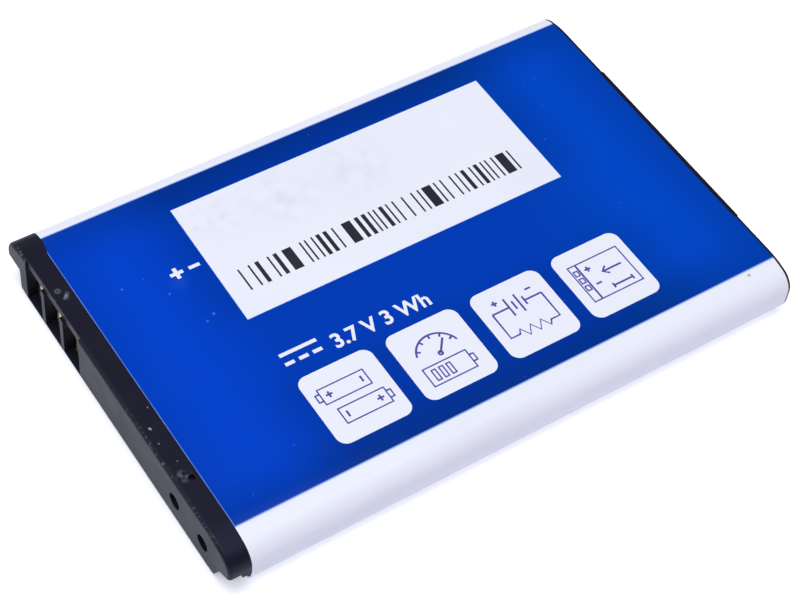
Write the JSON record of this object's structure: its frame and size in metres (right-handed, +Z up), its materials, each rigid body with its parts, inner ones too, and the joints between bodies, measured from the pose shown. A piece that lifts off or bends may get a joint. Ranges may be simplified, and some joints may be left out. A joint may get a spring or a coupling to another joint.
{
  "type": "mobile phone battery pack",
  "caption": "Flat rechargeable battery pack: a film-wrapped flat cell with a moulded cap at each end and contact windows in one of them.",
  "frame": {"origin": "middle of the underside, on the surface that the pack lies on", "axes": "+X from the contact end to the tail, +Y towards the side with the contacts, +Z up through the printed face"},
  "size_m": [0.0512, 0.034, 0.0048],
  "materials": {
    "printed_film": "glossy blue print on a white film",
    "label_paper": "satin white label",
    "cap_plastic": "black moulded plastic",
    "gold_contact": "gold plated",
    "board_laminate": "green solder mask",
    "chip_resin": "black moulding resin",
    "ceramic": "glazed ceramic with tinned ends",
    "nickel_strap": "nickel strip",
    "polymer_fuse": "wrapped polymer disc",
    "adhesive_tape": "polyimide tape",
    "foam_tape": "double-sided tape",
    "fish_paper": "pressed insulating paper",
    "cell_aluminium": "drawn aluminium",
    "sealing_bush": "natural white bush",
    "separator_sheet": "thin polymer sheet",
    "electrode_stack": "coated foil wound with separator"
  },
  "bodies": {
    "root": {"wrap_film": "printed_film", "label_sticker": "label_paper", "head_cap": "cap_plastic", "tail_cap": "cap_plastic", "tail_tape": "foam_tape", "circuit_board": "board_laminate", "protection_chip": "chip_resin", "switch_transistor": "chip_resin", "resistors": "ceramic", "capacitors": "ceramic", "thermistor": "ceramic", "positive_lead": "nickel_strap", "fuse_lead": "nickel_strap", "negative_lead": "nickel_strap", "thermal_fuse": "polymer_fuse", "lead_tape": "adhesive_tape", "lid_paper": "fish_paper", "positive_weld_plate": "nickel_strap", "cell_can": "cell_aluminium", "cell_lid": "cell_aluminium", "lid_gasket": "sealing_bush", "terminal_rivet": "nickel_strap", "fill_plug": "cell_aluminium", "inner_insulator": "separator_sheet", "inner_terminal": "nickel_strap", "positive_tab": "cell_aluminium", "negative_tab": "nickel_strap", "roll_head_insulator": "separator_sheet", "roll_tail_insulator": "separator_sheet", "electrode_roll": "electrode_stack", "contact_positive": "gold_contact", "contact_data": "gold_contact", "contact_negative": "gold_contact"}
  },
  "joints": []
}
